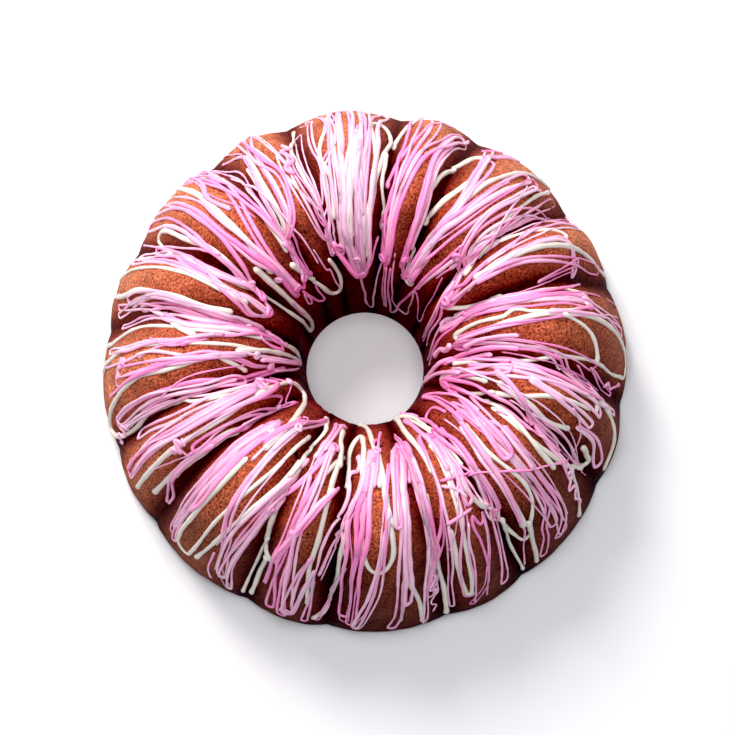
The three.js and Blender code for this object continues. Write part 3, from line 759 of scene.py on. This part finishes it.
def smooth_route(points):
    """A smooth route through [angle in degrees, travel] points, as angles in radians and travels.

    Its points lie a step apart, and closer where it bends.
    """
    points = np.array(points, dtype=float)
    angle = np.radians(points[:, 0])
    scale = radius_at(points[:, 1].mean())
    flat = np.stack([angle * scale, points[:, 1] * SECTION_LENGTH], axis=1)
    heading = unit(np.gradient(flat, axis=0))
    chords = np.linalg.norm(np.diff(flat, axis=0), axis=1)
    share = np.linspace(0, 1, BEND_CHECKS, endpoint=False)[:, None]
    pieces = []
    for i, chord in enumerate(chords):
        ahead = (flat[i + 1] - flat[i]) / chord
        pull_start = 2 * chord / (1 + abs(heading[i] @ ahead))
        pull_end = 2 * chord / (1 + abs(heading[i + 1] @ ahead))
        pieces.append(
            flat[i] * (1 + 2 * share) * (1 - share) ** 2
            + heading[i] * pull_start * share * (1 - share) ** 2
            + flat[i + 1] * share**2 * (3 - 2 * share)
            - heading[i + 1] * pull_end * share**2 * (1 - share)
        )
    dense = np.concatenate(pieces + [flat[-1:]])
    angle = dense[:, 0] / scale
    travel = dense[:, 1] / SECTION_LENGTH
    steps = np.stack([np.diff(angle) * radius_at(travel[1:]), np.diff(travel) * SECTION_LENGTH], axis=1)
    heading = unit(steps)
    bend = np.concatenate([[0], np.linalg.norm(np.diff(heading, axis=0), axis=1)])
    measure = np.concatenate([[0], np.cumsum(np.linalg.norm(steps, axis=1) + BEND_LENGTH * bend)])
    even = np.linspace(0, measure[-1], max(int(measure[-1] / STRAND_STEP), 5))
    return np.interp(even, measure, angle), np.interp(even, measure, travel)


class Drizzle:
    """Strands of icing, gathered into one mesh."""

    def __init__(self, sheet, sides, taper, seed):
        self.sheet = sheet
        self.sides = sides
        self.taper = taper
        self.random = np.random.default_rng(seed)
        self.points = []
        self.faces = []
        self.tones = []
        self.count = 0

    def lay(self, route, half_width, sway):
        """Lays a strand along a route over the icing that is already there."""
        angle, travel = smooth_route(route)
        count = len(angle)
        steps = np.hypot(np.diff(angle) * radius_at(travel[1:]), np.diff(travel) * SECTION_LENGTH)
        run = np.concatenate([[0], np.cumsum(steps)])
        for wave in (LONG_WAVE, SHORT_WAVE):
            phase = self.random.uniform(0, FULL_TURN)
            size = sway * self.random.uniform(*SWAY_SHARES) * wave / LONG_WAVE
            angle = angle + size * np.sin(FULL_TURN * run / wave + phase) / radius_at(travel)
        travel = np.clip(travel, *STRAND_LIMITS)
        thick = np.ones(count)
        for wave, swell in STRAND_SWELLS:
            phase = self.random.uniform(0, FULL_TURN)
            thick += swell * np.sin(FULL_TURN * run / wave + phase)
        from_end = np.minimum(run, run[-1] - run) + END_START * half_width
        thick += END_BULB * np.exp(-((from_end - half_width) / (END_BULB_LENGTH * half_width)) ** 2)
        half = half_width * thick * (1 - self.taper * smooth_step(travel, *TAPER_TRAVELS))
        base = surface(angle, travel)
        normal = surface_normal(angle, travel)
        below = self.sheet.top(angle, travel, half)
        below = PILE_LIMIT * (1 - np.exp(-below / PILE_LIMIT))
        below = np.maximum(blurred(below, PILE_BLUR), below - PILE_DIP * half)
        bridge = ((blurred(base, BRIDGE_BLUR) - base) * normal).sum(axis=1)
        centre = np.maximum(below, np.clip(bridge, 0, BRIDGE_LIMIT)) + half * STRAND_SINK
        self.sheet.lay(angle, travel, half, centre)
        self.add_tube(base + normal * centre[:, None], normal, half, from_end)
        towards_hole = smooth_step(DEEP_INNER_TRAVEL - travel, 0, DEEP_INNER_REACH)
        tone = self.random.uniform(*TONES) - DEEP_INNER_TONE * towards_hole
        for wave, swell in TONE_SWELLS:
            tone += swell * np.sin(FULL_TURN * run / wave + self.random.uniform(0, FULL_TURN))
        self.tones.append(np.repeat(np.clip(tone, 0, 1), self.sides))

    def add_tube(self, spine, normal, half, from_end):
        """A rope round the spine, a little flat, with round ends."""
        ahead = unit(np.gradient(spine, axis=0))
        side = unit(np.cross(ahead, normal))
        up = np.cross(side, ahead)
        round_end = np.sqrt(np.clip(1 - (1 - np.minimum(from_end / half, 1)) ** 2, TIP_SHARE, 1))
        half = (half * round_end)[:, None]
        rings = []
        for i in range(self.sides):
            swing = FULL_TURN * (i + 0.5) / self.sides
            rise = STRAND_FLATNESS * math.sin(swing)
            rings.append(spine + half * (side * math.cos(swing) + up * rise))
        count = len(spine)
        self.points.append(np.stack(rings, axis=1).reshape(-1, 3))
        body = grid_faces(count, self.sides, closed=False)
        strips = np.arange(self.sides // 2 - 1)
        cap = np.stack([strips, self.sides - 1 - strips, self.sides - 2 - strips, strips + 1], axis=1)
        far_cap = cap[:, ::-1] + (count - 1) * self.sides
        self.faces.append(np.concatenate([body, cap, far_cap]) + self.count)
        self.count += count * self.sides

    def piece(self, name, material, slot):
        """The strands as one mesh piece, with each strand's tone of colour."""
        piece = mesh_object(name, np.concatenate(self.points), np.concatenate(self.faces), material)
        add_values(piece, "tone", np.concatenate(self.tones))


def points_of(row):
    """The [angle, travel] points of a table's row."""
    return [(angle, percent / 100) for angle, percent in zip(row[::2], row[1::2])]


def lay_white(drizzle):
    """The thick white strands."""
    for row in WHITE_ROUTES:
        width = WHITE_HALF_WIDTH * drizzle.random.uniform(*WHITE_WIDTHS)
        drizzle.lay(points_of(row), width, STRAND_SWAY)


def degrees_for(width, travel):
    """The angle that a width in millimetres takes up at a travel."""
    return math.degrees(width / float(radius_at(travel)))


def there_and_back(random, route):
    """A route, a round turn at its outer end, and a way back that nears or crosses it at the inner end."""
    gap = random.choice((-1, 1)) * random.uniform(*RETURN_GAPS)
    back = []
    inner_share = random.uniform(*RETURN_INNER_SHARES)
    for (angle, travel), share in zip(route, np.linspace(inner_share, 1, len(route))):
        back.append((angle + degrees_for(gap * share, travel), travel))
    end_angle, end_travel = route[-1]
    turn = (end_angle + degrees_for(gap / 2, end_travel), end_travel + abs(gap) / 2 / SECTION_LENGTH)
    return [*route, turn, *back[::-1]]


def length_between(first, second):
    """How far apart two [angle, travel] points lie over the surface, in millimetres."""
    across = math.radians(second[0] - first[0]) * float(radius_at((first[1] + second[1]) / 2))
    return math.hypot(across, (second[1] - first[1]) * SECTION_LENGTH)


def link_point(random, first, second):
    """The middle of the round turn that links two strand ends."""
    depth = random.uniform(*LINK_DEPTHS) * length_between(first, second) / SECTION_LENGTH
    if first[1] + second[1] < 2 * MIDDLE_TRAVEL:
        return (first[0] + second[0]) / 2, min(first[1], second[1]) - depth
    return (first[0] + second[0]) / 2, max(first[1], second[1]) + depth


def pink_chains(random):
    """The pink routes, linked by round turns where the end of one lies near the next.

    A route that lies clear of the one before may have a way back beside it.
    """
    chains = [[]]
    last_middle = (0.0, 0.0)
    for row in PINK_ROUTES:
        route = points_of(row)
        middle = route[len(route) // 2]
        clear = length_between(last_middle, middle) > RETURN_CLEARANCE
        last_middle = middle
        ways = [route, route[::-1]]
        if clear and random.uniform() < RETURN_SHARE:
            ways = [there_and_back(random, route)]
        chain = chains[-1]
        near = [way for way in ways if chain and length_between(chain[-1], way[0]) < LONGEST_LINK]
        if near:
            chain += [link_point(random, chain[-1], near[0][0]), *near[0]]
        else:
            chains.append(ways[0])
    return chains[1:]


def knot_route(random, angle, travel):
    """A small loop that closes on itself."""
    size = random.uniform(*KNOT_SIZES)
    start = random.uniform(0, FULL_TURN)
    route = []
    for share in np.linspace(0, 1, KNOT_POINTS):
        swing = start + FULL_TURN * KNOT_TURNS * share
        reach = size * (1 - KNOT_SHRINK * share)
        side = degrees_for(reach * math.cos(swing), travel)
        route.append((angle + side, travel + KNOT_STRETCH * reach * math.sin(swing) / SECTION_LENGTH))
    return route


def curl_route(random, start, end, swings, size):
    """A route that swings from side to side between two [angle, travel] points, by uneven widths."""
    count = int(swings * CURL_POINTS)
    route = []
    for i in range(count + 1):
        share = i / count
        travel = start[1] + (end[1] - start[1]) * share
        swing = degrees_for(size * random.uniform(*CURL_SPREAD), travel)
        swing *= math.sin(FULL_TURN * swings * share)
        route.append((start[0] + (end[0] - start[0]) * share + swing, travel))
    return route


def thread_route(random):
    """A thin thread from somewhere near the hole to the outer wall."""
    inner_angle = random.uniform(0, 360)
    inner_travel = random.uniform(*THREAD_INNER_TRAVELS)
    outer_travel = random.uniform(*THREAD_OUTER_TRAVELS)
    outer_angle = inner_angle + random.normal(0, THREAD_LEAN)
    middle_angle = 0.5 * (inner_angle + outer_angle) + random.normal(0, THREAD_BOW)
    middle = (middle_angle, 0.5 * (inner_travel + outer_travel))
    return [(inner_angle, inner_travel), middle, (outer_angle, outer_travel)]


def lay_pink(drizzle, threads):
    """The pink strands and their knots, the curls, the strands that run across, and the thin threads."""
    random = drizzle.random
    for i, chain in enumerate(pink_chains(random)):
        rope = threads if i % 2 else drizzle
        rope.lay(chain, PINK_HALF_WIDTH * random.uniform(*PINK_WIDTHS), STRAND_SWAY)
    for row in INNER_ROUTES:
        threads.lay(points_of(row), PINK_HALF_WIDTH * random.uniform(*PINK_WIDTHS), SHORT_STRAND_SWAY)
    for row in HOLE_ROUTES:
        threads.lay(points_of(row), THREAD_HALF_WIDTH, SHORT_STRAND_SWAY)
    for angle, travel in points_of(KNOTS):
        threads.lay(knot_route(random, angle, travel), KNOT_WIDTH * PINK_HALF_WIDTH, SHORT_STRAND_SWAY)
    for start_angle, start_travel, end_angle, end_travel, swings, size in CURLS:
        curl = curl_route(random, (start_angle, start_travel), (end_angle, end_travel), swings, size)
        drizzle.lay(curl, PINK_HALF_WIDTH, STRAND_SWAY)
    for row in STRAY_ROUTES:
        drizzle.lay(points_of(row), STRAY_WIDTH * PINK_HALF_WIDTH, SHORT_STRAND_SWAY)
    for _ in range(RANDOM_THREADS):
        threads.lay(thread_route(random), THREAD_HALF_WIDTH, THREAD_SWAY)


class Shading:
    """A node material, with the nodes that lead to its shader."""

    def __init__(self, name):
        self.material = bpy.data.materials.new(name)
        self.material.use_nodes = True
        self.nodes = self.material.node_tree.nodes
        self.shader = self.nodes["Principled BSDF"]

    def fill(self, node, inputs):
        """Sets a node's inputs, each to a constant or to another node's output."""
        for name, value in inputs.items():
            if isinstance(value, bpy.types.NodeSocket):
                self.material.node_tree.links.new(value, node.inputs[name])
            else:
                node.inputs[name].default_value = value

    def place(self):
        """Places in the piece's own space."""
        return self.nodes.new("ShaderNodeTexCoord").outputs["Object"]

    def value(self, name):
        """The value that a mesh keeps at its points under that name."""
        attribute = self.nodes.new("ShaderNodeAttribute")
        attribute.attribute_name = name
        return attribute.outputs["Fac"]

    def noise(self, scale, detail, roughness=0.55):
        """A noise texture, with its scale in cells per metre."""
        noise = self.nodes.new("ShaderNodeTexNoise")
        self.fill(noise, {"Scale": scale, "Detail": detail, "Roughness": roughness, "Vector": self.place()})
        return noise.outputs["Fac"]

    def cells(self, scale):
        """How far a place lies from the middle of its cell, with the scale in cells per metre."""
        cells = self.nodes.new("ShaderNodeTexVoronoi")
        self.fill(cells, {"Scale": scale, "Vector": self.place()})
        return cells.outputs["Distance"]

    def ramp(self, value, *stops):
        """A colour ramp over a value: stops are [place, colour]."""
        ramp = self.nodes.new("ShaderNodeValToRGB")
        elements = ramp.color_ramp.elements
        while len(elements) < len(stops):
            elements.new(0.5)
        for element, (place, colour) in zip(elements, stops):
            element.position = place
            element.color = (*colour, 1)
        self.fill(ramp, {"Fac": value})
        return ramp.outputs["Color"]

    def mix(self, blend, factor, first, second):
        """Two colours mixed. The factor is a number or a node's output."""
        mix = self.nodes.new("ShaderNodeMix")
        mix.data_type = "RGBA"
        mix.blend_type = blend
        self.fill(mix, {"Factor": factor, "A": first, "B": second})
        return mix.outputs["Result"]

    def bump(self, height, distance, strength, **below):
        """A bump from a height value, over another bump if one is given as Normal."""
        bump = self.nodes.new("ShaderNodeBump")
        self.fill(bump, {"Distance": distance, "Strength": strength, "Height": height, **below})
        return bump.outputs["Normal"]


def crust_material():
    """Baked crust: orange-brown lobes and an open crumb with pores, with painted shade in the grooves,
    pores and cracks, towards the hole and on one side's walls.
    """
    shading = Shading("cake_crust")
    # The crust's colour over the section: orange-brown on the lobes, with painted shade deepening into the
    # hole, and darker again at the foot.
    along = shading.ramp(
        shading.value("travel"),
        (0.0, (0.15, 0.008, 0.010)),
        (0.22, (0.20, 0.016, 0.014)),
        (0.34, (0.35, 0.075, 0.048)),
        (0.48, (0.42, 0.105, 0.058)),
        (0.65, (0.59, 0.195, 0.106)),
        (0.85, (0.67, 0.250, 0.140)),
        (0.97, (0.40, 0.120, 0.060)),
    )
    # Painted shade: the crust darkens towards the bottom of each groove.
    shade = shading.ramp(
        shading.value("groove"),
        (0.0, (1, 1, 1)),
        (0.35, (0.74, 0.60, 0.58)),
        (0.7, (0.32, 0.15, 0.16)),
        (1.0, (0.15, 0.05, 0.06)),
    )
    # Painted shade on one side's outer wall and on the hole's wall across from it.
    painted_side_shade = shading.ramp(shading.value("painted_side_shade"), (0.0, (1, 1, 1)), (1.0, (0.30, 0.23, 0.25)))
    patches = shading.ramp(shading.noise(70, 3), (0.3, (0.72, 0.66, 0.62)), (0.7, (1.18, 1.16, 1.12)))
    colour = along
    for layer in (shade, painted_side_shade, patches):
        colour = shading.mix("MULTIPLY", 1.0, colour, layer)
    crumb = shading.noise(900, 4, 0.65)
    grain = shading.ramp(
        crumb,
        (0.36, (0.26, 0.17, 0.16)),
        (0.5, (0.95, 0.92, 0.92)),
        (0.64, (1.75, 1.85, 1.85)),
    )
    colour = shading.mix("MULTIPLY", 0.8, colour, grain)
    # Painted shade in the pores of the crumb, which the bump dents as well.
    pits = shading.ramp(shading.cells(520), (0.12, (0.28, 0.20, 0.18)), (0.32, (1.0, 1.0, 1.0)))
    pitted = shading.mix("MULTIPLY", 1.0, colour, pits)
    where = shading.ramp(shading.noise(190, 2), (0.42, (0, 0, 0)), (0.6, (1, 1, 1)))
    colour = shading.mix("MIX", where, colour, pitted)
    # Painted shade in the crack and pits.
    hollow_shade = shading.ramp(shading.value("hollow"), (0.25, (1, 1, 1)), (0.7, (0.08, 0.05, 0.05)))
    coarse = shading.bump(shading.noise(260, 3), 0.0011, 0.6)
    fine = shading.bump(crumb, 0.0008, 0.9, Normal=coarse)
    shading.fill(shading.shader, {
        "Base Color": shading.mix("MULTIPLY", 1.0, colour, hollow_shade),
        "Roughness": 0.72,
        "Specular IOR Level": 0.15,
        "Subsurface Weight": 0.08,
        "Subsurface Radius": (1.0, 0.35, 0.15),
        "Subsurface Scale": 0.0012,
        "Normal": shading.bump(pits, 0.0006, 0.5, Normal=fine),
    })
    return shading.material


def icing_material(name, colour, deep):
    """Set icing: smooth and a little see-through, with faint lumps and a tone for each strand."""
    shading = Shading(name)
    shading.fill(shading.shader, {
        "Base Color": shading.ramp(shading.value("tone"), (0.1, deep), (0.9, colour)),
        "Roughness": 0.42,
        "Specular IOR Level": 0.45,
        "Subsurface Weight": 0.5,
        "Subsurface Radius": (1.0, 0.6, 0.7),
        "Subsurface Scale": 0.0015,
        "Normal": shading.bump(shading.noise(500, 2), 0.0004, 0.35),
    })
    return shading.material


def build_cake():
    """The crust and its icing."""
    sheet = IcingSheet()
    crust_piece(crust_material())
    white = Drizzle(sheet, WHITE_SIDES, WHITE_TAPER, WHITE_SEED)
    pink = Drizzle(sheet, PINK_SIDES, PINK_TAPER, PINK_SEED)
    threads = Drizzle(sheet, PINK_SIDES, PINK_TAPER, THREAD_SEED)
    lay_white(white)
    lay_pink(pink, threads)
    white_icing = icing_material("white_icing", (0.76, 0.71, 0.64), (0.70, 0.64, 0.57))
    pink_icing = icing_material("pink_icing", (0.90, 0.55, 0.69), (0.86, 0.26, 0.51))
    white.piece("white_drizzle", white_icing, "white_icing")
    pink.piece("pink_drizzle", pink_icing, "pink_icing")
    threads.piece("pink_threads", pink_icing, "pink_icing")


# The picture: the camera's height over the horizon, its distance, the photograph's frame in pixels, what
# the lights aim at, and the level that counts as black.
CAMERA_ELEVATION = math.radians(80.0)
CAMERA_DISTANCE = 1.1
FRAME_SIZE = 735
BASE_CENTRE_PIXEL = (365.0, 370.0)
FOCAL_PIXELS = 2297.0
SENSOR_WIDTH = 36.0
LIGHT_TARGET = (0, 0, 0.04)
BLACK_LEVEL = (0.015, 0.013, 0.011)


def aim(thing, target):
    """Turns a camera or light to look at a point."""
    thing.rotation_euler = (Vector(target) - thing.location).to_track_quat("-Z", "Y").to_euler()


def set_camera():
    """The photograph's view: from almost straight above, leaning to the near side."""
    camera = bpy.data.objects.new("camera", bpy.data.cameras.new("camera"))
    bpy.context.collection.objects.link(camera)
    camera.location = (
        0.0,
        -CAMERA_DISTANCE * math.cos(CAMERA_ELEVATION),
        CAMERA_DISTANCE * math.sin(CAMERA_ELEVATION),
    )
    aim(camera, (0, 0, 0))
    camera.data.sensor_width = SENSOR_WIDTH
    camera.data.lens = FOCAL_PIXELS / FRAME_SIZE * SENSOR_WIDTH
    camera.data.shift_x = 0.5 - BASE_CENTRE_PIXEL[0] / FRAME_SIZE
    camera.data.shift_y = BASE_CENTRE_PIXEL[1] / FRAME_SIZE - 0.5
    bpy.context.scene.camera = camera


def add_light(name, colour, azimuth, elevation, distance, size, power):
    """A square soft light that shines on the cake."""
    light = bpy.data.objects.new(name, bpy.data.lights.new(name, "AREA"))
    bpy.context.collection.objects.link(light)
    around = math.radians(azimuth)
    above = math.radians(elevation)
    light.location = (
        distance * math.cos(above) * math.cos(around),
        distance * math.cos(above) * math.sin(around),
        distance * math.sin(above),
    )
    aim(light, LIGHT_TARGET)
    light.data.size = size
    light.data.energy = power
    light.data.color = colour


def set_stage():
    """A plain pale floor, soft light from the far left, and an even fill."""
    floor_mesh = bpy.data.meshes.new("floor")
    reach = 4.0
    floor_mesh.from_pydata(
        [(-reach, -reach, 0), (reach, -reach, 0), (reach, reach, 0), (-reach, reach, 0)], [], [(0, 1, 2, 3)]
    )
    floor = bpy.data.objects.new("floor", floor_mesh)
    bpy.context.collection.objects.link(floor)
    shading = Shading("floor")
    shading.fill(shading.shader, {"Base Color": (0.70, 0.68, 0.69, 1), "Roughness": 0.7})
    floor_mesh.materials.append(shading.material)
    add_light("key", (1.0, 0.97, 0.94), azimuth=118, elevation=48, distance=1.3, size=0.42, power=14.2)
    add_light("top", (0.97, 0.98, 1.0), azimuth=90, elevation=88, distance=1.4, size=0.7, power=11.5)
    world = bpy.data.worlds.new("studio")
    world.use_nodes = True
    sky = world.node_tree.nodes["Background"]
    sky.inputs["Color"].default_value = (0.87, 0.94, 1.0, 1)
    sky.inputs["Strength"].default_value = 0.32
    bpy.context.scene.world = world
    view = bpy.context.scene.view_settings
    view.view_transform = "Standard"
    view.look = "Medium High Contrast"
    view.use_curve_mapping = True
    view.curve_mapping.black_level = BLACK_LEVEL
    view.curve_mapping.update()


build_cake()
set_camera()
set_stage()
